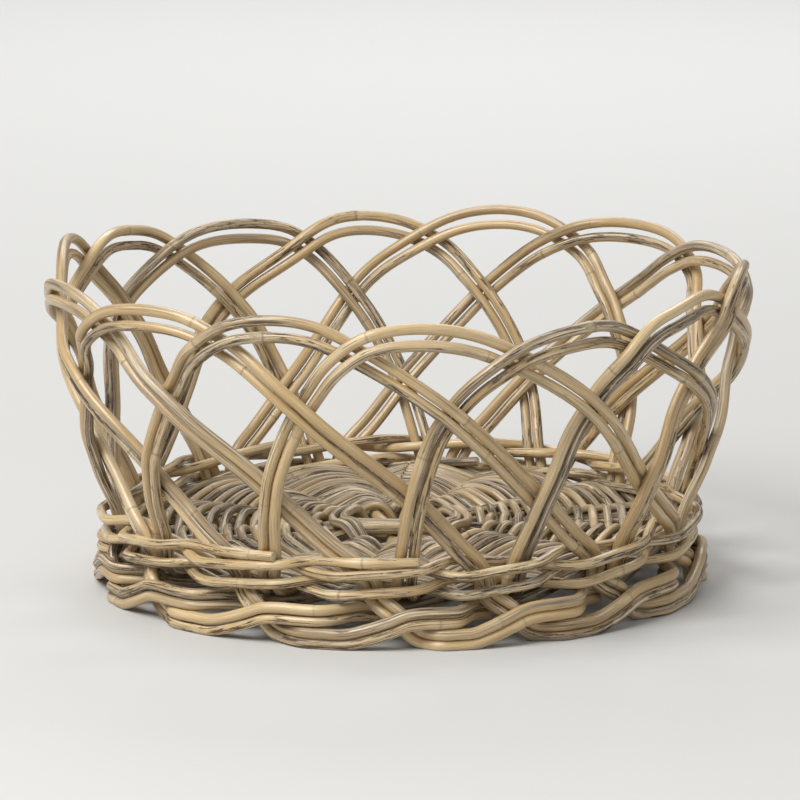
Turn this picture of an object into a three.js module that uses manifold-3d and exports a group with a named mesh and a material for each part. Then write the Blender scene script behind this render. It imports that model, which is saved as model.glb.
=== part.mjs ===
// Round open wicker basket, woven from rattan canes, for a pet to lie in.
// Millimetres, +Z up, origin on the floor under the middle, front towards -Y.
import * as THREE from "three";
import { mergeVertices } from "three/addons/utils/BufferGeometryUtils.js";
import Module from "manifold-3d";

// ---- overall sizes ----
const RIM_RADIUS = 297; // middle of the wall at the rim
const FOOT_RADIUS = 238; // middle of the wall at floor level
const ARCH_HEIGHT = 272; // middle of a pair of canes at the top of its arch
const FLARE_HEIGHT = 258; // height at which the wall stops flaring out

// ---- canes ----
const CANE = 9; // cane of the arches and of the base sticks
const STRAND = 8; // thinner cane of the wale and of the base weaving
const CLEARANCE = 0.4; // gap between canes that lie against each other
const CROSSING_CLEARANCE = 1.2; // gap where a cane passes over another
const SIDES = 5; // sides of a cane's section

// ---- the arches ----
const ARCHES = 14; // stations round the basket, one arch of two canes starts at each
const APEX_GAP = 4; // how far the two canes of a pair part at the top of the arch
const SHADE = 20; // length on each side of a crossing over which a cane keeps to its side

// ---- the base ----
const SLATH_REACH = 36; // half length of the square where the base sticks cross
const BASE_STICK_END = FOOT_RADIUS - 12; // radius where the base sticks stop
const SPOKE_START = 0.63 * FOOT_RADIUS; // radius where the arch canes start beside the base sticks
const WEAVERS = 8;
const WEAVER_FIRST = 88; // radius of the innermost weaver that goes round single sticks
const WEAVER_LAST = BASE_STICK_END - 12; // radius of the outermost weaver
const WEAVER_STEP = (WEAVER_LAST - WEAVER_FIRST) / (WEAVERS - 1);
const BINDING_FIRST = 52; // radius of the inner of the two rings that bind the crossed sticks
const BINDING_STEP = 13;
const END_GAP = 3; // between the two cut ends of a ring
const BACK_STATION = 7; // the rings start and end behind this station

// ---- hand-made irregularity, one value per station, from the front station round to the right ----
const FOOT_DRIFT = [-0.5, -4.5, -4.5, 1, -0.5, -2.5, -6, -7, -8, -8, -6, -1, -4, -2]; // degrees at the foot
const RIM_DRIFT = [-2, -1, -4.5, -5, 1.5, 0, 3, 3, -2, -0.5, -3.5, -3.5, 1, 1]; // degrees at the rim
const HEIGHT_DRIFT = [-3, -11, -7, 8, -8, -3, -1, -9, -12, -3, 8, -9, -5, 0]; // mm, arch tops near each station

// ---- derived levels ----
const STACK = CANE + CLEARANCE; // height of one layer of stacked canes
const FOOT_LEVEL = STACK / 2 + 0.39 * CANE; // middle of a pair that lies on the floor, its lower cane worn flat
const FOOT_UPPER_LEVEL = FOOT_LEVEL + 2 * STACK; // middle of a pair that lies on top of the next pair
const BASE_LEVEL = FOOT_UPPER_LEVEL + STACK + 2.8; // middle of the base sticks
const WALE_LOWER = BASE_LEVEL + (CANE + STRAND) / 2 + 0.9; // middle of the lower wale row
const WALE_UPPER = WALE_LOWER + 2 * (STRAND + CLEARANCE); // middle of the upper wale row
const WALE_DROP = 2; // a wale strand runs this much lower outside than inside
const WALL_START = (WALE_LOWER + WALE_UPPER) / 2 - 4.4; // height where the arch line starts and ends
const WEAVE_OFFSET = (CANE + CROSSING_CLEARANCE) / 2;
const WALE_OFFSET = (CANE + STRAND) / 2 + CLEARANCE;
const WALE_BULGE = 0.28 * CANE; // the outer strand stands this much further out
const WEAVER_OFFSET = (CANE + STRAND) / 2 + CROSSING_CLEARANCE;
const FOOT_STUB_RADIUS = FOOT_RADIUS + 15; // where the arch canes come down to the floor
const FOOT_OUTER_RADIUS = FOOT_STUB_RADIUS + STACK + 0.4;
const FOOT_TUCK_RADIUS = FOOT_STUB_RADIUS - STACK - 6;

const PITCH = (2 * Math.PI) / ARCHES;
const FOOT_PITCH = PITCH * FOOT_RADIUS * 1.03; // from station to station, along the wall just above the foot
const START_SHIFT = (0.6 * STACK) / FOOT_PITCH; // a pair starts its arch this far past the station, in stations
const LAND_SHIFT = (2.35 * STACK) / FOOT_PITCH; // and comes down this far short of one
const LANDING = 4; // stations from the start of an arch to the station where it comes down

// The line of an arch on the unrolled wall: across in stations, up as a share of its height.
const ARCH_LINE = [
  [START_SHIFT, 0],
  [0.085, 0.135],
  [0.13, 0.29],
  [0.195, 0.44],
  [0.3, 0.6],
  [0.48, 0.765],
  [0.65, 0.88],
  [0.87, 0.967],
  [1.15, 1],
  [1.5, 0.984],
  [1.86, 0.898],
  [2.28, 0.742],
  [2.71, 0.537],
  [3.09, 0.35],
  [3.5, 0.15],
  [LANDING - 0.1 - LAND_SHIFT, 0.065],
  [LANDING - LAND_SHIFT, 0],
];

function smooth(x) {
  const c = Math.min(1, Math.max(0, x));
  return c * c * (3 - 2 * c);
}

function mix(a, b, share) {
  return a + (b - a) * share;
}

// Eased reading of a list of values that runs round the basket.
function around(list, station) {
  const n = list.length;
  const low = Math.floor(station);
  const at = (i) => list[((i % n) + n) % n];
  return mix(at(low), at(low + 1), smooth(station - low));
}

// Angle of a place on the round. Its drift goes from the foot's to the rim's as the place rises from the
// bottom of the wall (0) to the top of the arches (1).
function angleAt(station, height = 0) {
  const drift = mix(around(FOOT_DRIFT, station), around(RIM_DRIFT, station), height);
  return station * PITCH + THREE.MathUtils.degToRad(drift);
}

function archTopAt(station) {
  return ARCH_HEIGHT + around(HEIGHT_DRIFT, station);
}

function wallRadius(z) {
  return mix(FOOT_RADIUS, RIM_RADIUS, smooth(z / FLARE_HEIGHT));
}

// A gap square to the wall is wider when it is measured level, because the wall leans out.
function leanFactor(z) {
  return Math.hypot(1, wallRadius(z + 0.5) - wallRadius(z - 0.5));
}

function place(radius, angle, z) {
  return new THREE.Vector3(radius * Math.sin(angle), -radius * Math.cos(angle), z);
}

function bisect(f, low, high) {
  let a = low;
  let b = high;
  const rising = f(b) > f(a);
  for (let i = 0; i < 50; i++) {
    const m = (a + b) / 2;
    if (f(m) > 0 === rising) {
      b = m;
    } else {
      a = m;
    }
  }
  return (a + b) / 2;
}

// ---- the arch line and the places where arches cross ----
const rise = ARCH_HEIGHT - WALL_START;
const across = PITCH * RIM_RADIUS;
const archLine = new THREE.CatmullRomCurve3(
  ARCH_LINE.map(([s, h]) => new THREE.Vector3(s * across, h * rise, 0)),
);
archLine.arcLengthDivisions = 400;
const archLength = archLine.getLength();

function archAt(u) {
  const p = archLine.getPointAt(u);
  return { station: p.x / across, height: p.y / rise };
}

const apexShare = (() => {
  let best = 0;
  for (let u = 0; u <= 1; u += 0.005) {
    if (archAt(u).height > archAt(best).height) {
      best = u;
    }
  }
  return best;
})();

// Where an arch going down meets the rising leg of the arch that starts `later` stations on.
function crossing(later) {
  const rising = (h) => bisect((u) => archAt(u).height - h, 0, apexShare);
  const falling = (h) => bisect((u) => archAt(u).height - h, apexShare, 1);
  const gap = (h) => archAt(falling(h)).station - archAt(rising(h)).station - later;
  const h = bisect(gap, 0.02, 0.98);
  return { up: rising(h), down: falling(h) };
}

const crossings = [1, 2, 3].map(crossing);
// Which side of the wall a cane keeps to, as it is followed along the arch: 1 outside, -1 inside.
const weaveKeys = [
  { at: 0, side: 0 },
  { at: crossings[2].up, side: 1 },
  { at: crossings[1].up, side: -1 },
  { at: crossings[0].up, side: 1 },
  { at: crossings[0].down, side: -1 },
  { at: crossings[1].down, side: 1 },
  { at: crossings[2].down, side: -1 },
  { at: 1, side: 0 },
];

function weaveSide(u) {
  let i = 0;
  while (i < weaveKeys.length - 2 && u > weaveKeys[i + 1].at) {
    i += 1;
  }
  const a = weaveKeys[i];
  const b = weaveKeys[i + 1];
  const keep = SHADE / archLength;
  const share = smooth((u - a.at - keep) / (b.at - a.at - 2 * keep));
  return mix(a.side, b.side, share);
}

// ---- the base sticks: four one way over three the other way, opened out to the stations ----
// Each half stick: the station it points at, and where it leaves the crossed square.
const half = STACK / 2;
const ends = [];
[2, 3, 4, 5].forEach((station, i) => {
  const y = (i - 1.5) * STACK;
  ends[station] = { x: SLATH_REACH, y, layer: half };
  ends[14 - station] = { x: -SLATH_REACH, y, layer: half };
});
[13, 14, 15].forEach((station, i) => {
  const x = (i - 1) * STACK;
  ends[station % ARCHES] = { x, y: -SLATH_REACH, layer: -half };
  ends[21 - station] = { x, y: SLATH_REACH, layer: -half };
});

// A point of the stick that points at a station, at a given distance from the middle.
function stickPoint(station, radius) {
  const end = ends[station];
  const tip = place(BASE_STICK_END, angleAt(station + ARCH_LINE[0][0]), 0);
  const start = new THREE.Vector3(end.x, end.y, 0);
  const share = bisect((t) => start.clone().lerp(tip, t).length() - radius, 0, 1);
  const p = start.lerp(tip, share);
  p.z = BASE_LEVEL + end.layer * (1 - smooth((radius - SLATH_REACH) / 45));
  return p;
}

function stickAngle(station, radius) {
  const p = stickPoint(station, radius);
  return Math.atan2(p.x, -p.y);
}

// ---- one arch pair as a list of stops: where its middle runs and how far its canes are apart ----
const WALL_STEPS = 26;

function pairStops(arch) {
  const stops = [];
  const own = angleAt(arch + ARCH_LINE[0][0]);
  const bend = wallRadius(WALL_START - 4);
  const add = (radius, angle, z, spread) => stops.push({ radius, angle, z, spread });

  // beside a base stick, then up at the edge of the base
  add(SPOKE_START, stickAngle(arch, SPOKE_START), BASE_LEVEL, 2 * STACK + 1);
  add(BASE_STICK_END - 6, own, BASE_LEVEL, 2 * STACK + 1);
  add(bend - 9, own, BASE_LEVEL, STACK + 5);
  add(bend - 2.5, own, BASE_LEVEL + 3.5, STACK + 3);

  // up, over and down the wall
  for (let i = 0; i <= WALL_STEPS; i++) {
    const u = i / WALL_STEPS;
    const p = archAt(u);
    const z = WALL_START + p.height * (archTopAt(arch + p.station) - WALL_START);
    const radius = wallRadius(z) + WEAVE_OFFSET * leanFactor(z) * weaveSide(u);
    const opening = APEX_GAP * Math.exp(-(((u - apexShare) / 0.13) ** 2));
    const start = 1.6 * Math.max(0, 1 - u / 0.1);
    add(radius, angleAt(arch + p.station, p.height), z, STACK + 0.4 + opening + start);
  }

  // through the wale, out to the stub, round on the floor and away to the right
  const land = (station, z, radius, spread = STACK + 0.1) =>
    add(radius, angleAt(arch + LANDING + station), z, spread);
  const canes = (count) => (count * STACK) / FOOT_PITCH;
  const under = BASE_LEVEL - CANE / 2;
  land(canes(-2.15), BASE_LEVEL + 4.5, wallRadius(BASE_LEVEL) + 0.6);
  land(canes(-1.45), under + 1.5, mix(wallRadius(under), FOOT_STUB_RADIUS, 0.54));
  land(canes(-0.35), FOOT_UPPER_LEVEL + 2, FOOT_STUB_RADIUS);
  land(canes(0.7), 2 * STACK, FOOT_STUB_RADIUS);
  land(canes(1.55), FOOT_LEVEL + 3.4, FOOT_STUB_RADIUS);
  land(canes(2.4), FOOT_LEVEL, FOOT_STUB_RADIUS + 0.6);
  land(canes(4.2), FOOT_LEVEL, FOOT_OUTER_RADIUS);
  land(0.5, FOOT_LEVEL, FOOT_OUTER_RADIUS);
  land(0.66, FOOT_LEVEL + 0.6, FOOT_OUTER_RADIUS);
  land(0.8, FOOT_LEVEL + 5, FOOT_OUTER_RADIUS);
  land(0.95, FOOT_UPPER_LEVEL - 7.5, FOOT_OUTER_RADIUS);
  land(1.08, FOOT_UPPER_LEVEL - 1.6, FOOT_OUTER_RADIUS);
  land(1.2, FOOT_UPPER_LEVEL, FOOT_OUTER_RADIUS);
  land(1.36, FOOT_UPPER_LEVEL, FOOT_OUTER_RADIUS);
  land(1.5, FOOT_UPPER_LEVEL, FOOT_OUTER_RADIUS - 2);
  land(1.74, FOOT_UPPER_LEVEL, FOOT_TUCK_RADIUS);
  land(2 - canes(1.2), FOOT_UPPER_LEVEL, FOOT_TUCK_RADIUS);
  return stops;
}

// The knots of one cane of the pair: half the spread to the outside (-1) or the inside (1) of the arch.
function caneKnots(arch, strand) {
  const stops = pairStops(arch);
  return stops.map((stop, i) => {
    const before = stops[Math.max(0, i - 1)];
    const after = stops[Math.min(stops.length - 1, i + 1)];
    const run = (after.angle - before.angle) * stop.radius;
    const climb = after.z - before.z;
    const length = Math.hypot(run, climb);
    const level = length < 1 || i < 3;
    const sideAcross = level ? 1 : climb / length;
    const sideUp = level ? 0 : -run / length;
    const shift = (strand * stop.spread) / 2;
    const z = stop.z + sideUp * shift;
    const lean = i < 4 || i > WALL_STEPS + 3 ? 0 : wallRadius(z) - wallRadius(stop.z);
    const radius = stop.radius + lean;
    return place(radius, stop.angle + (sideAcross * shift) / radius, z);
  });
}

// ---- solids ----
const wasm = await Module();
wasm.setup();

// A path whose own knots are the rings of the swept cane.
class KnottedPath extends THREE.CatmullRomCurve3 {
  getUtoTmapping(u) {
    return u;
  }
}

function sweep(knots, thickness) {
  const section = new THREE.Shape();
  for (let i = 0; i < SIDES; i++) {
    const a = (i / SIDES) * 2 * Math.PI;
    const x = (thickness / 2) * Math.cos(a);
    const y = (thickness / 2) * Math.sin(a);
    if (i === 0) {
      section.moveTo(x, y);
    } else {
      section.lineTo(x, y);
    }
  }
  const extrudePath = new KnottedPath(knots);
  return new THREE.ExtrudeGeometry(section, { steps: knots.length - 1, extrudePath });
}

// The foot canes are worn flat where they stand on the floor.
function wornFlat(geometry) {
  const bare = geometry.clone();
  bare.deleteAttribute("normal");
  bare.deleteAttribute("uv");
  const merged = mergeVertices(bare, 1e-3);
  const solid = new wasm.Manifold(
    new wasm.Mesh({
      numProp: 3,
      vertProperties: merged.attributes.position.array,
      triVerts: new Uint32Array(merged.index.array),
    }),
  );
  const cut = solid.trimByPlane([0, 0, 1], 0).getMesh();
  const result = new THREE.BufferGeometry();
  result.setAttribute("position", new THREE.BufferAttribute(cut.vertProperties, 3));
  result.setIndex(new THREE.BufferAttribute(cut.triVerts, 1));
  result.computeVertexNormals();
  return result;
}

const group = new THREE.Group();

function addNode(name, geometry, color, roughness) {
  const material = new THREE.MeshStandardMaterial({ color, roughness, metalness: 0 });
  const mesh = new THREE.Mesh(geometry, material);
  mesh.name = name;
  group.add(mesh);
}

const HONEY = 0xb99a6b;
const HONEY_PALE = 0xc7ab7c;
const STRAW = 0xbfa679;
const GREY = 0x9c8b74;

// ---- the arches: two canes each, from the base up, over, down and round the foot ----
for (let arch = 0; arch < ARCHES; arch++) {
  const label = String(arch + 1).padStart(2, "0");
  addNode("arch_" + label + "_outer", sweep(caneKnots(arch, -1), CANE), HONEY, 0.6);
  addNode("arch_" + label + "_inner", wornFlat(sweep(caneKnots(arch, 1), CANE)), HONEY_PALE, 0.6);
}

// ---- the base: seven sticks crossed four over three, opened out to the fourteen stations ----
function stickKnots(from, to) {
  const far = [BASE_STICK_END, 150, 100, 75, 50];
  const middle = (station) => {
    const { x, y, layer } = ends[station];
    return new THREE.Vector3(x, y, BASE_LEVEL + layer);
  };
  return [
    ...far.map((radius) => stickPoint(from, radius)),
    middle(from),
    middle(to),
    ...far.map((radius) => stickPoint(to, radius)).reverse(),
  ];
}

const sticks = [
  [2, 12],
  [3, 11],
  [4, 10],
  [5, 9],
  [13, 8],
  [0, 7],
  [1, 6],
];
sticks.forEach(([from, to], i) => {
  addNode("base_stick_" + (i + 1), sweep(stickKnots(from, to), CANE), GREY, 0.75);
});

// The last length of a ring runs back to its first knot and stops short, so its two cut ends nearly meet.
function nearlyClosed(knots) {
  const last = knots[knots.length - 1];
  const back = knots[0].clone().sub(last);
  const reach = back.length() - END_GAP;
  return [...knots, last.clone().add(back.setLength(reach))];
}

// A weaver: over one spoke and under the next, all the way round.
function weaverKnots(radius, parity) {
  const knots = [];
  const halfWidth = radius > SPOKE_START - WEAVER_STEP / 2 ? 1.5 * STACK : 0.6 * STACK;
  for (let i = 0; i < ARCHES; i++) {
    const station = (i + BACK_STATION) % ARCHES;
    const angle = stickAngle(station, radius);
    const side = (i + parity) % 2 === 0 ? 1 : -1;
    const z = stickPoint(station, radius).z + side * WEAVER_OFFSET;
    const reach = halfWidth / radius;
    knots.push(place(radius, angle - reach, z));
    knots.push(place(radius, angle + reach, z));
  }
  return nearlyClosed(knots);
}

for (let i = 0; i < WEAVERS; i++) {
  const knots = weaverKnots(WEAVER_FIRST + i * WEAVER_STEP, i);
  addNode("base_weaver_" + (i + 1), sweep(knots, STRAND), GREY, 0.75);
}

// A binding ring: over the bundles of four sticks and under the bundles of three.
const bundles = [
  [13, 1],
  [2, 5],
  [6, 8],
  [9, 12],
];

function bindingKnots(radius) {
  const knots = [];
  const past = STACK / radius;
  bundles.forEach(([first, last], i) => {
    const from = stickAngle(first, radius) - past;
    const width = stickAngle(last, radius) - stickAngle(first, radius);
    const to = from + ((width + 2 * Math.PI) % (2 * Math.PI)) + 2 * past;
    const over = i % 2 === 1 ? 1 : -1;
    const z = stickPoint(first, radius).z + over * WEAVER_OFFSET;
    [0, 0.33, 0.67, 1].forEach((share) => {
      knots.push(place(radius + 2 * Math.sin(share * Math.PI), mix(from, to, share), z));
    });
  });
  return nearlyClosed(knots);
}

addNode("base_binding_1", sweep(bindingKnots(BINDING_FIRST), STRAND), GREY, 0.75);
addNode("base_binding_2", sweep(bindingKnots(BINDING_FIRST + BINDING_STEP), STRAND), GREY, 0.75);

// ---- the wale: two rows, each of two strands that swap sides between stations ----
function waleKnots(level, parity) {
  const knots = [];
  const lift = (STRAND + CLEARANCE) / 2 + 0.1;
  const before = (3.3 * STACK + 2.1 * STRAND) / FOOT_PITCH;
  const after = (1.15 * STACK + STRAND) / FOOT_PITCH;
  const between = (after + 1 - before) / 2;
  for (let i = 0; i < ARCHES; i++) {
    const station = i + BACK_STATION;
    const outside = (i + parity) % 2 === 0;
    const side = outside ? 1 : -1;
    const offset = outside ? WALE_OFFSET + WALE_BULGE : -WALE_OFFSET;
    const z = level - side * WALE_DROP;
    const radius = wallRadius(level) + offset * leanFactor(level);
    knots.push(place(radius, angleAt(station - before), z - side * lift * 0.7));
    knots.push(place(radius, angleAt(station + after), z + side * lift * 0.7));
    knots.push(place(wallRadius(level), angleAt(station + between), level + side * lift));
  }
  return nearlyClosed(knots);
}

[
  ["wale_lower_a", WALE_LOWER, 0],
  ["wale_lower_b", WALE_LOWER, 1],
  ["wale_upper_a", WALE_UPPER, 0],
  ["wale_upper_b", WALE_UPPER, 1],
].forEach(([name, level, parity]) => {
  addNode(name, sweep(waleKnots(level, parity), STRAND), STRAW, 0.6);
});

// the origin stands on the floor under the middle of the finished basket
const box = new THREE.Box3().setFromObject(group);
const middle = box.getCenter(new THREE.Vector3());
group.children.forEach((mesh) => {
  mesh.geometry.translate(-middle.x, -middle.y, 0);
});

export default group;
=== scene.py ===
# %% [markdown]
# # A round wicker basket for a pet
#
# The basket is woven from whole rattan canes. Fourteen pairs of canes leave the base at its edge, lean
# over to the right in long arches and cross one another in a lattice, each pair passing under, over and
# under its neighbours. Each pair comes down just beside the start of the fourth pair on, slips between
# the two strands of each twined row, and is turned along the floor as a rolled foot. The base is a round
# mat: seven sticks crossed four over three and opened out, with pairs of weavers twined round them.
#
# The script follows the order in which the basket would be made on paper: the wall and its stations,
# the run of every cane, the solid cane swept along each run, and last the look of the rattan.

import math

import bpy
import numpy as np
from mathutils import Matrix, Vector


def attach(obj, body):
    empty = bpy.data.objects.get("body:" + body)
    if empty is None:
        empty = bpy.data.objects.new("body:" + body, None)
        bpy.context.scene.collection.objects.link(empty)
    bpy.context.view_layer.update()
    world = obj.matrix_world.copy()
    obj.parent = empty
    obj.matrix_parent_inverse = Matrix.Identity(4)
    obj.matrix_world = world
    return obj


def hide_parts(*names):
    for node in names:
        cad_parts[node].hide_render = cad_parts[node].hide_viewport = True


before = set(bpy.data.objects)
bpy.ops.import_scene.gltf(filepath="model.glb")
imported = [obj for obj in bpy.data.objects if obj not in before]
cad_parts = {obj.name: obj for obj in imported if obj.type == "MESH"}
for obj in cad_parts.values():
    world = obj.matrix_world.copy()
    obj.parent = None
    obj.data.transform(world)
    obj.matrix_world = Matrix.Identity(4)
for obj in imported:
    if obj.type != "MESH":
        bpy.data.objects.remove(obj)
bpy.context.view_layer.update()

# %% [markdown]
# ## Sizes
#
# Everything is worked out in millimetres and turned into metres only when a mesh is made. The canes
# that stand in the wall are about nine and a half millimetres thick, the ones that bind the base are
# thinner. The canes of the solid model are nine, and the levels of the foot come from those. The basket
# is hand-made, so each station has drifted a few degrees from its even place and each arch has its own
# height. Those values are the same as in the solid model, and everything that stands on the wall is bent
# by them together. The canes here are a little thicker than the solids, so neighbours press together.

# %% The measured sizes of the basket
RIM_RADIUS = 297.0
FOOT_RADIUS = 238.0
ARCH_HEIGHT = 272.0
FLARE_HEIGHT = 258.0
CANE = 9.5
SOLID_CANE = 9.0
STRAND = 8.3
STATIONS = 14
BACK_STATION = 7
PITCH = 2 * math.pi / STATIONS
FOOT_DRIFT = np.array([-0.5, -4.5, -4.5, 1, -0.5, -2.5, -6, -7, -8, -8, -6, -1, -4, -2])
RIM_DRIFT = np.array([-2, -1, -4.5, -5, 1.5, 0, 3, 3, -2, -0.5, -3.5, -3.5, 1, 1])
HEIGHT_DRIFT = np.array([-3, -11, -7, 8, -8, -3, -1, -9, -12, -3, 8, -9, -5, 0.0])
LAYER = 9.4
FOOT_PITCH = PITCH * FOOT_RADIUS * 1.03
START_SHIFT = 0.6 * LAYER / FOOT_PITCH
LAND_SHIFT = 2.35 * LAYER / FOOT_PITCH
LANDING = 4

# %% Levels of the layers that lie on one another near the floor
FOOT_LEVEL = LAYER / 2 + 0.39 * SOLID_CANE
FOOT_UPPER_LEVEL = FOOT_LEVEL + 2 * LAYER
BASE_LEVEL = FOOT_UPPER_LEVEL + LAYER + 2.8
WALE_LOWER = BASE_LEVEL + 9.4
WALE_UPPER = WALE_LOWER + 16.8
WALL_START = (WALE_LOWER + WALE_UPPER) / 2 - 4.4
FOOT_STUB_RADIUS = FOOT_RADIUS + 15
FOOT_OUTER_RADIUS = FOOT_STUB_RADIUS + LAYER + 0.4
FOOT_TUCK_RADIUS = FOOT_STUB_RADIUS - LAYER - 6
print("levels: base", round(BASE_LEVEL, 1), "wale", round(WALE_LOWER, 1), round(WALE_UPPER, 1))

# %% [markdown]
# ## The wall
#
# The wall flares: it is narrow at the floor, opens fastest half way up and stands upright again at the
# rim. One eased step from the foot radius to the rim radius draws that. A station is a place on the
# round where a pair of canes starts. Places between stations are counted in fractions, and the drift of
# each station is eased into the next, so a point is given by its station, its height and its radius.


# %% The wall as functions of height and station
def smooth(x):
    """Eased step: 0 below 0, 1 above 1, three x squared less two x cubed between."""
    c = np.clip(x, 0.0, 1.0)
    return c * c * (3 - 2 * c)


def mix(a, b, share):
    return a + (b - a) * share


def around(values, station):
    """Eased reading of a list that runs round the basket, at any fraction of a station."""
    low = np.floor(station).astype(int)
    n = len(values)
    return mix(values[low % n], values[(low + 1) % n], smooth(station - low))


def angle_at(station, rise=0.0):
    """Angle of a place: its even share of the round, plus a drift that goes from the foot's to the rim's
    as the place rises from the bottom of the wall (0) to the top of its arches (1)."""
    station = np.asarray(station, float)
    drift = mix(around(FOOT_DRIFT, station), around(RIM_DRIFT, station), rise)
    return station * PITCH + np.radians(drift)


def arch_top_at(station):
    return ARCH_HEIGHT + around(HEIGHT_DRIFT, np.asarray(station, float))


def wall_radius(z):
    return mix(FOOT_RADIUS, RIM_RADIUS, smooth(np.asarray(z, float) / FLARE_HEIGHT))


def lean_factor(z):
    """How much further two canes stand apart when the gap is measured level on the leaning wall."""
    return np.hypot(1.0, wall_radius(np.asarray(z) + 0.5) - wall_radius(np.asarray(z) - 0.5))


def place(radius, angle, z):
    """Points from radius, angle from the front towards the right, and height."""
    radius, angle, z = np.broadcast_arrays(radius, angle, z)
    return np.stack([radius * np.sin(angle), -radius * np.cos(angle), z], -1).astype(float)


# %% [markdown]
# ## Smooth runs
#
# A cane bends in one long spring curve between the places that hold it. A spline through the holding
# points gives that: in each stretch the tangent at a point leans on its two neighbours, weighted by the
# square root of the distance to them, so close points do not kick the curve out of shape.


# %% A spline through points, read at even steps of length
def spline(points, fine=24):
    """Curve through the rows of points (a centripetal Catmull-Rom spline), fine samples per stretch."""
    p = np.asarray(points, float)
    first, last = 2 * p[0] - p[1], 2 * p[-1] - p[-2]
    q = np.vstack([first, p, last])
    gap = np.maximum(np.linalg.norm(np.diff(q[:, :3], axis=0), axis=1), 1e-6) ** 0.5
    d0, d1, d2 = gap[:-2, None], gap[1:-1, None], gap[2:, None]
    a, b, c, d = q[:-3], q[1:-2], q[2:-1], q[3:]
    m1 = ((b - a) / d0 - (c - a) / (d0 + d1) + (c - b) / d1) * d1
    m2 = ((c - b) / d1 - (d - b) / (d1 + d2) + (d - c) / d2) * d1
    t = np.linspace(0, 1, fine, endpoint=False)[None, :, None]
    b, c, m1, m2 = (v[:, None, :] for v in (b, c, m1, m2))
    run = (2 * t**3 - 3 * t**2 + 1) * b + (t**3 - 2 * t**2 + t) * m1
    run = run + (3 * t**2 - 2 * t**3) * c + (t**3 - t**2) * m2
    return np.vstack([run.reshape(-1, p.shape[1]), p[-1:]])


def lengths(points):
    """Length along a run of points, from its start to each of them."""
    step = np.linalg.norm(np.diff(points[:, :3], axis=0), axis=1)
    return np.concatenate([[0.0], np.cumsum(step)])


def at_lengths(points, wanted):
    """The run read at the wanted lengths from its start."""
    s = lengths(points)
    return np.stack([np.interp(wanted, s, points[:, k]) for k in range(points.shape[1])], -1)


def even(points, step):
    total = lengths(points)[-1]
    return at_lengths(points, np.linspace(0, total, max(3, int(round(total / step)) + 1)))


# %% [markdown]
# ## The line of an arch
#
# All arches share one line on the unrolled wall. The left leg is steep, the shoulder is tight, and the
# right leg runs down as one long slope to the fourth station on. The line is drawn once, across in
# stations and up as a share of the arch's height.

# %% The arch line and where its top is
ARCH_LINE = np.array(
    [
        [START_SHIFT, 0],
        [0.085, 0.135],
        [0.13, 0.29],
        [0.195, 0.44],
        [0.3, 0.6],
        [0.48, 0.765],
        [0.65, 0.88],
        [0.87, 0.967],
        [1.15, 1],
        [1.5, 0.984],
        [1.86, 0.898],
        [2.28, 0.742],
        [2.71, 0.537],
        [3.09, 0.35],
        [3.5, 0.15],
        [LANDING - 0.1 - LAND_SHIFT, 0.065],
        [LANDING - LAND_SHIFT, 0],
    ]
)
ACROSS = PITCH * RIM_RADIUS
RISE = ARCH_HEIGHT - WALL_START
arch_line = even(spline(ARCH_LINE * [ACROSS, RISE]), 1.0)
arch_length = lengths(arch_line)[-1]
arch_share = np.linspace(0, 1, len(arch_line))
arch_station, arch_rise = arch_line[:, 0] / ACROSS, arch_line[:, 1] / RISE
top = int(np.argmax(arch_rise))
print("arch line", round(arch_length), "mm, top at", round(arch_share[top], 3))

# %% [markdown]
# ## Over and under
#
# An arch on its way down meets the rising legs of the next three arches. It goes inside the first,
# outside the second and inside the third, and each of those legs does the opposite at the same place.
# The crossings are found where the falling half of the line, read at one height, is exactly one, two or
# three stations beyond the rising half.


# %% Crossings and the side of the wall that a cane keeps to
def crossing(later):
    heights = np.linspace(0.02, 0.98, 2000)
    rising = np.interp(heights, arch_rise[: top + 1], arch_share[: top + 1])
    falling = np.interp(heights, arch_rise[top:][::-1], arch_share[top:][::-1])
    apart = np.interp(falling, arch_share, arch_station) - np.interp(rising, arch_share, arch_station)
    i = int(np.argmin(np.abs(apart - later)))
    return rising[i], falling[i]


crossings = [crossing(k) for k in (1, 2, 3)]
key_at = np.array([0, *(c[0] for c in crossings[::-1]), *(c[1] for c in crossings), 1])
key_side = np.array([0, 1, -1, 1, -1, 1, -1, 0.0])


KEEP = 13 / arch_length


def weave_side(u):
    """1 outside the wall, -1 inside it: level near each crossing and eased between crossings."""
    i = np.clip(np.searchsorted(key_at, u) - 1, 0, len(key_at) - 2)
    a, b = key_at[i], key_at[i + 1]
    return mix(key_side[i], key_side[i + 1], smooth((u - a - KEEP) / (b - a - 2 * KEEP)))


print("crossings", [tuple(round(v, 3) for v in c) for c in crossings])

# %% [markdown]
# ## The base sticks
#
# Four sticks lie across the basket and three lie under them from front to back. Outside the crossed
# square each stick end is bent round to its own station, like the ribs of a fan, so fourteen spokes
# come from seven sticks. The same points also say where the ends of the arch canes lie, because each
# pair is pushed in along a stick, one cane on each side of it.

# %% Where each half stick leaves the crossed square and how it runs out
SLATH_REACH = 36.0
STICK_END = FOOT_RADIUS - 12
SPOKE_START = 0.63 * FOOT_RADIUS
leave = np.zeros((STATIONS, 3))
for i, station in enumerate([2, 3, 4, 5]):
    leave[station] = (SLATH_REACH, (i - 1.5) * LAYER, LAYER / 2)
    leave[14 - station] = (-SLATH_REACH, (i - 1.5) * LAYER, LAYER / 2)
for i, station in enumerate([13, 0, 1]):
    leave[station] = ((i - 1) * LAYER, -SLATH_REACH, -LAYER / 2)
    leave[[8, 7, 6][i]] = ((i - 1) * LAYER, SLATH_REACH, -LAYER / 2)


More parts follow.
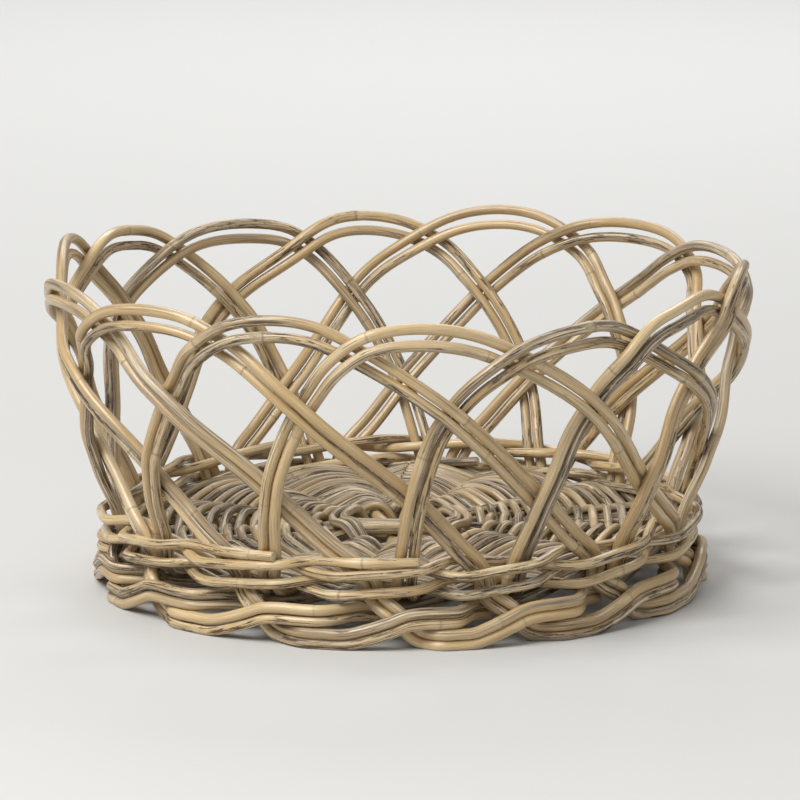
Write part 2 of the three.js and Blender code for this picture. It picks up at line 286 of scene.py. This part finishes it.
def stick_point(station, radius):
    """The point of a half stick at a distance from the middle: a straight line from where it leaves the
    square to its tip, dropped or raised from its layer to the level of the base."""
    start = leave[station]
    tip = place(STICK_END, angle_at(station + START_SHIFT), 0.0)
    share = np.linspace(0, 1.05, 400)[:, None]
    line = mix(start[None, :2], tip[None, :2], share)
    out = np.interp(radius, np.hypot(line[:, 0], line[:, 1]), share[:, 0])
    xy = mix(start[:2], tip[:2], np.asarray(out)[..., None])
    z = BASE_LEVEL + start[2] * (1 - smooth((np.asarray(radius, float) - SLATH_REACH) / 45))
    return np.concatenate([xy, np.asarray(z)[..., None]], -1)


def stick_angle(station, radius):
    p = stick_point(station, radius)
    return np.arctan2(p[..., 0], -p[..., 1])


# %% [markdown]
# ## The run of an arch pair
#
# A pair starts beside its base stick, turns up at the edge of the base, follows the arch line, threads
# down between the two strands of each twined row, steps out to the foot, turns along the floor and is
# tucked in behind the pair two stations on. Each stop holds the middle of the pair and how far its two
# canes are apart; the canes are then set off to either side of that middle, square to the run.

# %% The stops of a pair
APEX_GAP = 4.0
WEAVE_DEPTH = 4.9
LYING_STOPS = 4
WALL_STEPS = 90


def canes(count):
    """A number of cane layers as a share of the distance between stations at the foot."""
    return count * LAYER / FOOT_PITCH


def pair_stops(arch):
    """Rows of radius, angle, height, distance between the two canes, and 1 where the pair is level."""
    own = angle_at(arch + START_SHIFT)
    bend = wall_radius(WALL_START - 4)
    rows = [
        (SPOKE_START, stick_angle(arch, SPOKE_START), BASE_LEVEL, 2 * LAYER + 1, 1),
        (STICK_END - 6, own, BASE_LEVEL, 2 * LAYER + 1, 1),
        (bend - 9, own, BASE_LEVEL, LAYER + 5, 1),
        (bend - 2.5, own, BASE_LEVEL + 3.5, LAYER + 3, 1),
    ]
    u = np.linspace(0, 1, WALL_STEPS)
    station = arch + np.interp(u, arch_share, arch_station)
    rise = np.interp(u, arch_share, arch_rise)
    z = WALL_START + rise * (arch_top_at(station) - WALL_START)
    radius = wall_radius(z) + WEAVE_DEPTH * lean_factor(z) * weave_side(u)
    spread = LAYER + 0.4 + APEX_GAP * np.exp(-(((u - arch_share[top]) / 0.13) ** 2))
    spread = spread + 1.6 * np.maximum(0, 1 - u / 0.1)
    rows += list(zip(radius, angle_at(station, rise), z, spread, np.zeros(WALL_STEPS)))

    under = BASE_LEVEL - 4.5
    close = LAYER + 0.1
    foot = [
        (canes(-2.15), BASE_LEVEL + 4.5, wall_radius(BASE_LEVEL) + 0.6),
        (canes(-1.45), under + 1.5, mix(wall_radius(under), FOOT_STUB_RADIUS, 0.54)),
        (canes(-0.35), FOOT_UPPER_LEVEL + 2, FOOT_STUB_RADIUS),
        (canes(0.7), 2 * LAYER, FOOT_STUB_RADIUS),
        (canes(1.55), FOOT_LEVEL + 3.4, FOOT_STUB_RADIUS),
        (canes(2.4), FOOT_LEVEL, FOOT_STUB_RADIUS + 0.6),
        (canes(4.2), FOOT_LEVEL, FOOT_OUTER_RADIUS),
        (0.5, FOOT_LEVEL, FOOT_OUTER_RADIUS),
        (0.66, FOOT_LEVEL + 0.6, FOOT_OUTER_RADIUS),
        (0.8, FOOT_LEVEL + 5, FOOT_OUTER_RADIUS),
        (0.95, FOOT_UPPER_LEVEL - 7.5, FOOT_OUTER_RADIUS),
        (1.08, FOOT_UPPER_LEVEL - 1.6, FOOT_OUTER_RADIUS),
        (1.2, FOOT_UPPER_LEVEL, FOOT_OUTER_RADIUS),
        (1.36, FOOT_UPPER_LEVEL, FOOT_OUTER_RADIUS),
        (1.5, FOOT_UPPER_LEVEL, FOOT_OUTER_RADIUS - 2),
        (1.74, FOOT_UPPER_LEVEL, FOOT_TUCK_RADIUS),
        (2 - canes(1.2), FOOT_UPPER_LEVEL, FOOT_TUCK_RADIUS),
    ]
    rows += [(r, angle_at(arch + LANDING + s), z, close, 0) for s, z, r in foot]
    return np.array(rows, float)


def cane_knots(arch, strand):
    """The run of one cane: half the spread outside (-1) or inside (1) the middle of its pair."""
    radius, angle, z, spread, level = pair_stops(arch).T
    before = np.concatenate([[0], np.arange(len(z) - 1)])
    after = np.concatenate([np.arange(1, len(z)), [len(z) - 1]])
    run = (angle[after] - angle[before]) * radius
    climb = z[after] - z[before]
    length = np.maximum(np.hypot(run, climb), 1e-9)
    side_across = np.where(level > 0, 1.0, climb / length)
    side_up = np.where(level > 0, 0.0, -run / length)
    shift = strand * spread / 2
    new_z = z + side_up * shift
    on_wall = np.zeros(len(z), bool)
    on_wall[LYING_STOPS : LYING_STOPS + WALL_STEPS] = True
    new_radius = radius + np.where(on_wall, wall_radius(new_z) - wall_radius(z), 0.0)
    return place(new_radius, angle + side_across * shift / new_radius, new_z)


runs = np.vstack([spline(cane_knots(arch, strand), 6) for arch in range(STATIONS) for strand in (-1, 1)])
MIDDLE = (runs.min(0) + runs.max(0)) / 2 * [1, 1, 0]
print("all canes together stand", runs.max(0)[2].round(), "mm high; the middle is at", MIDDLE.round(1))

# %% [markdown]
# ## A rattan cane
#
# Rattan is a solid climbing palm stem. It is nearly round, a little uneven along its length, and every
# so often a leaf once grew from it: there it swells slightly and keeps a thin scar
# ring with a small step. The cane is made by carrying a ring of points along the run. The ring keeps
# its heading by being turned only as much as the run turns, its size follows the swelling and the
# scars, and extra rings are set close together round each scar so that the step is crisp.
#
# Every point also remembers where it lies on the cane: how far along, and the two coordinates across
# the section. The bark patterns are drawn in those coordinates, so the grain follows every bend.


# %% Frames that turn only as much as the run does
def turned_frames(points):
    tangent = np.gradient(points, axis=0)
    tangent /= np.linalg.norm(tangent, axis=1, keepdims=True)
    pick = np.eye(3)[np.argmin(np.abs(tangent[0]))]
    normal = np.cross(tangent[0], pick)
    normal /= np.linalg.norm(normal)
    normals = [normal]
    for t in tangent[1:]:
        normal = normal - t * normal.dot(t)
        normal = normal / np.linalg.norm(normal)
        normals.append(normal)
    normals = np.array(normals)
    return tangent, normals, np.cross(tangent, normals)


# %% The cane itself
BEVEL = 0.55
RINGS_AT_SCAR = np.array([-7, -4.5, -2.6, -1.4, -0.7, -0.2, 0.3, 0.9, 1.7, 3, 5, 8])


def scar_places(total, rng, gap=(140, 340)):
    """Distances along a cane where its leaf scars lie."""
    places = []
    at = rng.uniform(20, gap[1])
    while at < total - 12:
        places.append(at)
        at += rng.uniform(*gap)
    return np.array(places)


def make_cane(name, knots, thickness, seed, tone, grey, bark, sides=16, step=3.2, gap=(140, 340)):
    """A cane along the knots: radius = half the thickness, times slow waves along the length, times one
    plus a swelling at each scar, less a thin groove beside it; both ends are cut off nearly square, and
    whatever would reach under the floor is worn flat."""
    rng = np.random.default_rng(seed)
    run = spline(knots, 10)
    total = lengths(run)[-1]
    scars = scar_places(total, rng, gap)
    s = np.linspace(0, total, max(8, int(total / step)))
    close = (scars[:, None] + RINGS_AT_SCAR).ravel()
    s = np.unique(np.clip(np.concatenate([s, close]), 0, total))
    s = s[np.concatenate([[True], np.diff(s) > 0.15])]
    points = at_lengths(run, s)
    tangent, normal, other = turned_frames(points)

    wave = 1 + 0.018 * np.sin(s / rng.uniform(38, 55) + rng.uniform(0, 6))
    wave = wave + 0.012 * np.sin(s / 17 + seed)
    away = s[:, None] - scars[None, :] if len(scars) else np.full((len(s), 1), 999.0)
    depth = rng.uniform(0.25, 1.0, away.shape[1])
    swell = (0.075 * depth * np.exp(-((away / 6.0) ** 2))).sum(1)
    groove = (0.065 * depth * np.exp(-(((away - 0.6) / 0.75) ** 2))).sum(1)
    ring_mark = (depth * np.exp(-(((away - 0.6) / 0.9) ** 2))).max(1)
    near_mark = (depth * np.exp(-(((away + 5) / 8.0) ** 2))).max(1)
    size = thickness / 2 * wave * (1 + swell - groove)

    # both ends get one more ring for a small bevel; the grain is read one ring back
    last = len(points) - 1
    keep = np.concatenate([[0], np.arange(last + 1), [last]])
    points = points[keep]
    points[1] += tangent[0] * BEVEL
    points[-2] -= tangent[-1] * BEVEL
    s = s[np.maximum(keep - 1, 0)]
    normal, other = normal[keep], other[keep]
    size, ring_mark, near_mark = size[keep], ring_mark[keep], near_mark[keep]
    size[[0, -1]] *= 0.86

    n, m = sides, len(points)
    turn = np.linspace(0, 2 * np.pi, n, endpoint=False)
    oval = 1 + 0.025 * np.cos(2 * turn[None, :] + s[:, None] / 90 + seed)
    across = size[:, None] * oval * np.cos(turn)[None, :]
    upward = size[:, None] * oval * np.sin(turn)[None, :]
    grid = points[:, None, :] + across[..., None] * normal[:, None, :]
    grid = grid + upward[..., None] * other[:, None, :]
    verts = (np.vstack([grid.reshape(-1, 3), points[:1], points[-1:]]) - MIDDLE) / 1000
    verts[:, 2] = np.maximum(verts[:, 2], 0.0)

    i, j = np.meshgrid(np.arange(m - 1), np.arange(n), indexing="ij")
    a, b = i * n + j, i * n + (j + 1) % n
    quads = np.stack([a, b, b + n, a + n], -1).reshape(-1, 4)
    j = np.arange(n)
    start = np.stack([np.full(n, m * n), (j + 1) % n, j], -1)
    end = np.stack([np.full(n, m * n + 1), (m - 1) * n + j, (m - 1) * n + (j + 1) % n], -1)
    mesh = bpy.data.meshes.new(name)
    mesh.from_pydata(verts.tolist(), [], quads.tolist() + start.tolist() + end.tolist())
    flat = np.ones(len(quads) + 2 * n, bool)
    flat[len(quads) :] = False
    mesh.polygons.foreach_set("use_smooth", flat)

    grain = np.stack([np.broadcast_to(s[:, None], across.shape), across, upward], -1).reshape(-1, 3)
    grain = np.vstack([grain, [[s[0], 0, 0], [s[-1], 0, 0]]]) / 1000
    grain[:, 0] += seed * 3.7
    cut = np.zeros((m, n))
    cut[0], cut[-1] = 1, 1
    values = {
        "scar": np.repeat(ring_mark, n),
        "near_scar": np.repeat(near_mark, n),
        "cut": cut.ravel(),
    }
    layer = mesh.attributes.new("grain", "FLOAT_VECTOR", "POINT")
    layer.data.foreach_set("vector", grain.ravel().astype(np.float32))
    for key, v in values.items():
        tail = [1.0, 1.0] if key == "cut" else [0.0, 0.0]
        layer = mesh.attributes.new(key, "FLOAT", "POINT")
        layer.data.foreach_set("value", np.concatenate([v, tail]).astype(np.float32))
    for key, v in (("tone", tone), ("grey", grey), ("bark", bark)):
        layer = mesh.attributes.new(key, "FLOAT", "POINT")
        layer.data.foreach_set("value", np.full(len(verts), v, np.float32))
    made = bpy.data.objects.new(name, mesh)
    bpy.context.scene.collection.objects.link(made)
    return made


# %% [markdown]
# ## The look of the rattan
#
# Unpeeled rattan is honey to straw coloured with a thin skin that shines softly. Where the skin has
# weathered it turns grey-brown, and where strips of the leaf sheath were left on there are long dark
# brown flakes that run with the stem. All three patterns are stretched many times along the cane. They
# share one node group that gives a colour, a roughness and a height, and the three materials differ only
# in how much grey and bark they ask for and in a slight tint.


# %% A shader group that draws rattan bark
def node(tree, kind, **settings):
    made = tree.nodes.new(kind)
    for key, value in settings.items():
        setattr(made, key, value)
    return made


def rattan_group():
    group = bpy.data.node_groups.new("Rattan bark", "ShaderNodeTree")
    face = group.interface
    for name, kind, value in (
        ("Grain", "NodeSocketVector", None),
        ("Tone", "NodeSocketFloat", 0.5),
        ("Grey", "NodeSocketFloat", 0.3),
        ("Bark", "NodeSocketFloat", 0.4),
        ("Scar", "NodeSocketFloat", 0.0),
        ("Near scar", "NodeSocketFloat", 0.0),
        ("Cut", "NodeSocketFloat", 0.0),
    ):
        socket = face.new_socket(name, in_out="INPUT", socket_type=kind)
        if value is not None:
            socket.default_value = value
    face.new_socket("Color", in_out="OUTPUT", socket_type="NodeSocketColor")
    face.new_socket("Roughness", in_out="OUTPUT", socket_type="NodeSocketFloat")
    face.new_socket("Height", in_out="OUTPUT", socket_type="NodeSocketFloat")
    link = group.links.new
    inside = node(group, "NodeGroupInput")
    outside = node(group, "NodeGroupOutput")

    def stretched(along, across, detail, rough=0.6):
        scale = node(group, "ShaderNodeMapping")
        scale.inputs["Scale"].default_value = (along, across, across)
        link(inside.outputs["Grain"], scale.inputs["Vector"])
        noise = node(group, "ShaderNodeTexNoise")
        noise.inputs["Scale"].default_value = 1.0
        noise.inputs["Detail"].default_value = detail
        noise.inputs["Roughness"].default_value = rough
        link(scale.outputs["Vector"], noise.inputs["Vector"])
        return noise.outputs["Fac"]

    def ranged(value, low, high, to_low=0.0, to_high=1.0):
        made = node(group, "ShaderNodeMapRange", clamp=True)
        for key, v in (("From Min", low), ("From Max", high), ("To Min", to_low), ("To Max", to_high)):
            if isinstance(v, (int, float)):
                made.inputs[key].default_value = v
            else:
                link(v, made.inputs[key])
        link(value, made.inputs["Value"])
        return made.outputs["Result"]

    def maths(operation, a, b):
        made = node(group, "ShaderNodeMath", operation=operation)
        for socket, v in zip(made.inputs, (a, b)):
            if isinstance(v, (int, float)):
                socket.default_value = v
            else:
                link(v, socket)
        return made.outputs[0]

    def blend(factor, a, b, mode="MIX"):
        made = node(group, "ShaderNodeMix", data_type="RGBA", blend_type=mode)
        for socket, v in ((made.inputs["Factor"], factor), (made.inputs[6], a), (made.inputs[7], b)):
            if isinstance(v, (int, float)):
                socket.default_value = v
            elif isinstance(v, tuple):
                socket.default_value = (*v, 1.0)
            else:
                link(v, socket)
        return made.outputs[2]

    slow = stretched(6, 60, 3)
    fibre = stretched(30, 1500, 4, 0.7)
    streak = stretched(11, 480, 5, 0.65)
    lines = stretched(12, 620, 5, 0.62)
    flake = stretched(34, 330, 8, 0.75)
    worn = stretched(4, 90, 4)

    honey = blend(inside.outputs["Tone"], (0.420, 0.275, 0.116), (0.740, 0.580, 0.335))
    honey = blend(ranged(slow, 0.40, 0.62, 0.0, 0.8), honey, (0.600, 0.430, 0.208))
    silver = blend(ranged(streak, 0.40, 0.60), (0.190, 0.142, 0.086), (0.600, 0.505, 0.360))
    grey_mask = maths("ADD", ranged(worn, 0.38, 0.62, -0.55, 0.55), inside.outputs["Grey"])
    grey_mask = ranged(grey_mask, 0.15, 0.85)
    color = blend(grey_mask, honey, silver)
    asked = maths("MULTIPLY", inside.outputs["Bark"], 0.9)
    rough_bark = ranged(maths("ADD", asked, ranged(worn, 0.38, 0.62, -0.45, 0.25)), 0.0, 0.5)
    pale = maths("MULTIPLY", ranged(streak, 0.52, 0.64), ranged(rough_bark, 0.0, 1.0, 0.25, 0.9))
    color = blend(pale, color, (0.820, 0.700, 0.480))
    color = blend(ranged(fibre, 0.38, 0.68, 0.0, 0.55), color, (0.42, 0.28, 0.14), "MULTIPLY")
    dark_lines = maths("MULTIPLY", ranged(lines, 0.565, 0.595), ranged(rough_bark, 0.0, 1.0, 0.05, 1.0))
    color = blend(dark_lines, color, (0.085, 0.048, 0.022))
    edge = maths("SUBTRACT", 0.69, maths("MULTIPLY", rough_bark, 0.15))
    flakes = ranged(flake, edge, maths("ADD", edge, 0.025))
    color = blend(maths("MULTIPLY", flakes, 0.95), color, (0.055, 0.030, 0.014))
    color = blend(maths("MULTIPLY", inside.outputs["Near scar"], 0.40), color, (0.700, 0.565, 0.340))
    color = blend(maths("MULTIPLY", inside.outputs["Scar"], 0.62), color, (0.110, 0.064, 0.030))
    pores = stretched(0.0, 1900, 2, 0.4)
    pith = blend(ranged(pores, 0.52, 0.62), (0.700, 0.590, 0.400), (0.180, 0.110, 0.055))
    color = blend(inside.outputs["Cut"], color, pith)
    link(color, outside.inputs["Color"])

    rough = maths("ADD", ranged(worn, 0.3, 0.7, 0.25, 0.38), maths("MULTIPLY", grey_mask, 0.12))
    rough = maths("ADD", rough, maths("MULTIPLY", maths("MAXIMUM", flakes, dark_lines), 0.20))
    link(rough, outside.inputs["Roughness"])
    height = maths("ADD", maths("MULTIPLY", fibre, 0.35), maths("MULTIPLY", streak, 0.35))
    height = maths("SUBTRACT", height, maths("MULTIPLY", maths("MAXIMUM", flakes, dark_lines), 0.35))
    link(height, outside.inputs["Height"])
    return group


bark = rattan_group()
print("shader group", bark.name, "with", len(bark.nodes), "nodes")


# %% Three materials that use it
def rattan(name, grey, bark_more, tint):
    material = bpy.data.materials.new(name)
    material.use_nodes = True
    tree = material.node_tree
    shader = tree.nodes["Principled BSDF"]
    shader.inputs["Specular IOR Level"].default_value = 0.6
    shader.inputs["Coat Weight"].default_value = 0.2
    shader.inputs["Coat Roughness"].default_value = 0.18
    group = node(tree, "ShaderNodeGroup", node_tree=bark)
    for socket in ("Grain", "Tone", "Scar", "Near scar", "Cut"):
        key = socket.lower().replace(" ", "_")
        read = node(tree, "ShaderNodeAttribute", attribute_name=key)
        kind = "Vector" if key == "grain" else "Fac"
        tree.links.new(read.outputs[kind], group.inputs[socket])
    for key, socket, more in (("grey", "Grey", grey), ("bark", "Bark", bark_more)):
        read = node(tree, "ShaderNodeAttribute", attribute_name=key)
        add = node(tree, "ShaderNodeMath", operation="ADD")
        add.inputs[1].default_value = more
        tree.links.new(read.outputs["Fac"], add.inputs[0])
        tree.links.new(add.outputs[0], group.inputs[socket])
    tinted = node(tree, "ShaderNodeMix", data_type="RGBA", blend_type="MULTIPLY")
    tinted.inputs["Factor"].default_value = 1.0
    tinted.inputs[7].default_value = (*tint, 1.0)
    tree.links.new(group.outputs["Color"], tinted.inputs[6])
    tree.links.new(tinted.outputs[2], shader.inputs["Base Color"])
    tree.links.new(group.outputs["Roughness"], shader.inputs["Roughness"])
    bump = node(tree, "ShaderNodeBump")
    bump.inputs["Strength"].default_value = 0.55
    bump.inputs["Distance"].default_value = 0.0009
    tree.links.new(group.outputs["Height"], bump.inputs["Height"])
    tree.links.new(bump.outputs["Normal"], shader.inputs["Normal"])
    return material


MATERIALS = {
    "arch_cane": rattan("Honey rattan", 0.0, 0.0, (1.0, 1.0, 1.0)),
    "wale_cane": rattan("Band rattan", 0.0, 0.05, (1.0, 1.0, 0.98)),
    "base_cane": rattan("Grey base rattan", 0.42, 0.25, (0.84, 0.83, 0.81)),
}


def finish_cane(piece, slot, *nodes):
    """Rides the piece on the one body, gives it its material and hides the solids it stands for."""
    piece.data.materials.append(MATERIALS[slot])
    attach(piece, "root")
    if nodes:
        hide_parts(*nodes)


# %% [markdown]
# ## The wall and the foot
#
# Twenty-eight canes, two for each station. No two stems are alike, so each gets its own thickness,
# warmth, greyness and amount of bark from one seeded draw.

# %% Make the twenty-eight arch canes
draw = np.random.default_rng(14)
for arch in range(STATIONS):
    for strand, word in ((-1, "outer"), (1, "inner")):
        label = f"arch_{arch + 1:02d}_{word}"
        thickness = CANE + draw.uniform(-0.45, 0.25) - (0.35 if strand > 0 else 0.0)
        tone, grey, flaky = draw.uniform(0.1, 1.0), draw.beta(0.9, 2.0), draw.beta(0.8, 1.3)
        knots = cane_knots(arch, strand)
        piece = make_cane(label, knots, thickness, arch * 2 + (strand > 0), tone, grey, flaky)
        finish_cane(piece, "arch_cane", label)
print("arch canes", 2 * STATIONS)

# %% [markdown]
# ## The twined band
#
# Two rows hold the feet of the arches. A row is twined from two strands: while one runs outside a
# station the other runs inside it, and between stations they change places, the one going in crossing
# over the one coming out. Each outer stretch climbs from left to right, which gives the band its
# slanted stitches. The two strands of the upper row end near the front, and each lies over the top of
# the row there and is cut off just past a pair of canes.


# %% The two twined rows
WALE_OUTSIDE, WALE_INSIDE = 11.1, -9.2


def nearly_closed(rows):
    """The knots of a ring with a last one that stops 3 mm short of the first."""
    rows = np.array(rows)
    back = rows[0] - rows[-1]
    return np.vstack([rows, rows[-1] + back * (1 - 3 / np.linalg.norm(back))])


def wale_knots(level, parity, start):
    rows = []
    lift = STRAND / 2 + 0.2
    before = (3.3 * LAYER + 2.1 * 8) / FOOT_PITCH
    after = (1.15 * LAYER + 8) / FOOT_PITCH
    between = (after + 1 - before) / 2
    for i in range(STATIONS):
        station = i + start
        side = 1 if (station + 1 + parity) % 2 == 0 else -1
        offset = WALE_OUTSIDE if side > 0 else WALE_INSIDE
        z = level - side * 2
        radius = wall_radius(level) + offset * lean_factor(level)
        middle = station + (after - before) / 2
        rows.append(place(radius, angle_at(station - before), z - side * lift * 0.7))
        rows.append(place(radius + 0.8, angle_at(middle), z))
        rows.append(place(radius, angle_at(station + after), z + side * lift * 0.7))
        rows.append(place(wall_radius(level), angle_at(station + between), level + side * lift))
    if start == BACK_STATION:
        return nearly_closed(rows)
    wall = wall_radius(level)
    rows.append(place(wall + 11.5, angle_at(start + STATIONS - before * 0.55), level + 7))
    rows.append(place(wall + 13.5, angle_at(start + STATIONS + 0.16), level + 8.5))
    return np.array(rows)


for label, level, parity, start in (
    ("wale_lower_a", WALE_LOWER, 0, BACK_STATION),
    ("wale_lower_b", WALE_LOWER, 1, BACK_STATION),
    ("wale_upper_a", WALE_UPPER, 0, 0),
    ("wale_upper_b", WALE_UPPER, 1, 13),
):
    tone, grey, flaky = draw.uniform(0.3, 1.0), draw.uniform(0.0, 0.4), draw.uniform(0.2, 0.8)
    seed = 40 + len(label) + parity + int(level)
    piece = make_cane(label, wale_knots(level, parity, start), STRAND + 0.4, seed, tone, grey, flaky)
    finish_cane(piece, "wale_cane", label)

# %% [markdown]
# ## The woven base
#
# The seven sticks are bound where they cross by two rings that go over the four and under the three.
# From there out pairs of weavers are twined round every spoke: one over, one under, changing places
# between spokes. The pair winds outwards as one spiral, a round at a time, and a new length starts where
# the last one ended, at the back. The last round winds out past the ends of the sticks, where it runs
# into the lower strands of the band and the canes that turn up beside them.

# %% The seven base sticks
STICK_ENDS = ((2, 12), (3, 11), (4, 10), (5, 9), (13, 8), (0, 7), (1, 6))
for i, (first, last) in enumerate(STICK_ENDS):
    radii = np.array([STICK_END, 200, 150, 110, 80, 55])
    one = stick_point(first, radii)
    two = stick_point(last, radii[::-1])
    middle = np.array([leave[first], leave[last]]) + [0, 0, BASE_LEVEL]
    label = f"base_stick_{i + 1}"
    piece = make_cane(label, np.vstack([one, middle, two]), CANE, 70 + i, draw.uniform(0.3, 0.9), 0.25, 0.3)
    finish_cane(piece, "base_cane", label)

# %% The two binding rings round the crossed sticks
BUNDLES = ((13, 1), (2, 5), (6, 8), (9, 12))
BINDING_RADII = (47, 57)
BINDING_OFFSET = 9.3


def binding_knots(radius):
    rows = []
    past = LAYER / radius
    for i, (first, last) in enumerate(BUNDLES):
        start = stick_angle(first, radius) - past
        width = (stick_angle(last, radius) - stick_angle(first, radius)) % (2 * math.pi)
        over = 1 if i % 2 == 1 else -1
        z = stick_point(first, radius)[2] + over * BINDING_OFFSET
        for share in (0, 0.33, 0.67, 1):
            bow = 2 * math.sin(share * math.pi)
            rows.append(place(radius + bow, start + (width + 2 * past) * share, z))
    return nearly_closed(rows)


for i, radius in enumerate(BINDING_RADII):
    label = f"base_binding_{i + 1}"
    piece = make_cane(label, binding_knots(radius), 8.0, 80 + i, 0.6, 0.3, 0.1, gap=(70, 150))
    finish_cane(piece, "base_cane", label)

# %% The spiral of twined weavers
ROWS = 13
ROW_FIRST, ROW_LAST = 70.0, 229.0
WEAVER = 7.6
WEAVER_OFFSET = 8.7
WEAVER_SLIP = 2.4
CAD_WEAVERS = 8


def weaver_knots(row, parity):
    """One round of one strand of the pair: over a spoke, down and across between spokes, under the next.
    It ends beyond the spoke it began at, where the next round takes over."""
    rows = []
    spacing = (ROW_LAST - ROW_FIRST) / (ROWS - 1)
    for i in range(STATIONS + 1):
        station = i + BACK_STATION
        radius = ROW_FIRST + spacing * (row + i / STATIONS)
        side = 1 if (i + parity) % 2 == 0 else -1
        nearest = np.round((angle_at(station) - stick_angle(station % STATIONS, radius)) / (2 * math.pi))
        angle = stick_angle(station % STATIONS, radius) + 2 * math.pi * nearest
        half = (1.5 * LAYER if radius > SPOKE_START - 6 else 0.6 * LAYER) / radius
        z = stick_point(station % STATIONS, radius)[2] + side * WEAVER_OFFSET
        past = half if i > 0 else half + 1.5 / radius
        if i > 0:
            rows.append(place(radius - side * WEAVER_SLIP, angle - half, z))
        rows.append(place(radius + side * WEAVER_SLIP, angle + past, z))
    return np.array(rows)


for row in range(ROWS):
    for parity in (0, 1):
        number = row * 2 + parity
        label = f"base_weaver_{number + 1}"
        tone, grey, flaky = draw.uniform(0.2, 0.9), draw.uniform(0.1, 0.6), draw.uniform(0.0, 0.5)
        knots = weaver_knots(row, parity)
        piece = make_cane(label, knots, WEAVER, 100 + number, tone, grey, flaky, sides=12, gap=(60, 150))
        finish_cane(piece, "base_cane", *([label] if number < CAD_WEAVERS else []))
print("weavers", ROWS * 2)

# %% [markdown]
# ## Floor, light and camera
#
# The basket stands on a pale seamless sheet that runs back and curves up behind it. Its colour carries
# painted light: it is darker at the front and lighter towards the back, as painted shade and painted
# light. A large soft lamp hangs over the left front, a weaker one fills from the right, a wide one lights
# the sheet behind, and the surroundings are a soft white.
# The camera stands about four metres away and a metre above the floor, with a long lens.

# %% The seamless sheet, with painted light falloff from front to back
SHEET_HALF = 12.0
SHEET_BEND = 1.6
SHEET_FLAT = (-6.0, 6.5)
turn = np.linspace(0, math.pi / 2, 24)[1:]
y = SHEET_FLAT[1] + SHEET_BEND * np.sin(turn)
z = SHEET_BEND * (1 - np.cos(turn))
y = np.concatenate([SHEET_FLAT, y, [SHEET_FLAT[1] + SHEET_BEND]])
z = np.concatenate([[0.0, 0.0], z, [9.0]])
x = np.tile([-SHEET_HALF, SHEET_HALF], len(y))
grid = np.stack([x, np.repeat(y, 2), np.repeat(z, 2)], -1)
i = np.arange(len(y) - 1)
quads = np.stack([2 * i, 2 * i + 1, 2 * i + 3, 2 * i + 2], -1)
mesh = bpy.data.meshes.new("floor")
mesh.from_pydata(grid.tolist(), [], quads.tolist())
mesh.polygons.foreach_set("use_smooth", np.ones(len(i), bool))
floor = bpy.data.objects.new("floor", mesh)
bpy.context.scene.collection.objects.link(floor)
paper = bpy.data.materials.new("Pale paper")
paper.use_nodes = True
tree = paper.node_tree
# painted light: the sheet's colour is mixed along Y, from darker at the front to lighter at the back,
# painted shade near the basket and painted light far behind it
where = node(tree, "ShaderNodeTexCoord")
split = node(tree, "ShaderNodeSeparateXYZ")
painted_light_ramp = node(tree, "ShaderNodeMapRange", clamp=True)
painted_light_ramp.inputs["From Min"].default_value = 0.6
painted_light_ramp.inputs["From Max"].default_value = 4.6
painted_light_mix = node(tree, "ShaderNodeMix", data_type="RGBA")
# the darker front colour is painted shade, the lighter back colour is painted light
painted_light_mix.inputs[6].default_value = (0.572, 0.568, 0.553, 1)
painted_light_mix.inputs[7].default_value = (0.715, 0.714, 0.702, 1)
tree.links.new(where.outputs["Object"], split.inputs["Vector"])
tree.links.new(split.outputs["Y"], painted_light_ramp.inputs["Value"])
tree.links.new(painted_light_ramp.outputs["Result"], painted_light_mix.inputs["Factor"])
tree.links.new(painted_light_mix.outputs[2], tree.nodes["Principled BSDF"].inputs["Base Color"])
tree.nodes["Principled BSDF"].inputs["Roughness"].default_value = 0.9
mesh.materials.append(paper)


# %% Lamps and surroundings
def lamp(name, where, aim, size, power, color=(1, 1, 1)):
    light = bpy.data.lights.new(name, "AREA")
    light.shape = "RECTANGLE"
    light.size, light.size_y = size
    light.energy = power
    light.color = color
    made = bpy.data.objects.new(name, light)
    made.location = where
    made.rotation_euler = (Vector(aim) - Vector(where)).to_track_quat("-Z", "Y").to_euler()
    bpy.context.scene.collection.objects.link(made)
    return made


lamp("key", (-2.0, -1.7, 3.2), (0, 0, 0.1), (2.4, 2.4), 172)
lamp("fill", (3.0, -2.4, 2.0), (0, 0, 0.15), (2.5, 2.5), 20)
lamp("back", (0.3, 3.6, 3.4), (0, 2.6, 0), (4.0, 2.0), 110)
world = bpy.data.worlds.new("soft room")
world.use_nodes = True
world.node_tree.nodes["Background"].inputs["Color"].default_value = (1, 1, 1, 1)
world.node_tree.nodes["Background"].inputs["Strength"].default_value = 0.36
bpy.context.scene.world = world
bpy.context.scene.view_settings.view_transform = "Standard"

# %% Camera
camera_data = bpy.data.cameras.new("camera")
camera = bpy.data.objects.new("camera", camera_data)
bpy.context.scene.collection.objects.link(camera)
bpy.context.scene.camera = camera
ELEVATION = math.radians(11.53)
DISTANCE = 4.2
TARGET = Vector((0, 0, 0.1565))
camera.location = TARGET + Vector((0, -math.cos(ELEVATION), math.sin(ELEVATION))) * DISTANCE
camera.rotation_euler = (TARGET - camera.location).to_track_quat("-Z", "Y").to_euler()
camera_data.sensor_width = 36
camera_data.lens = 218.07
camera_data.clip_end = 60
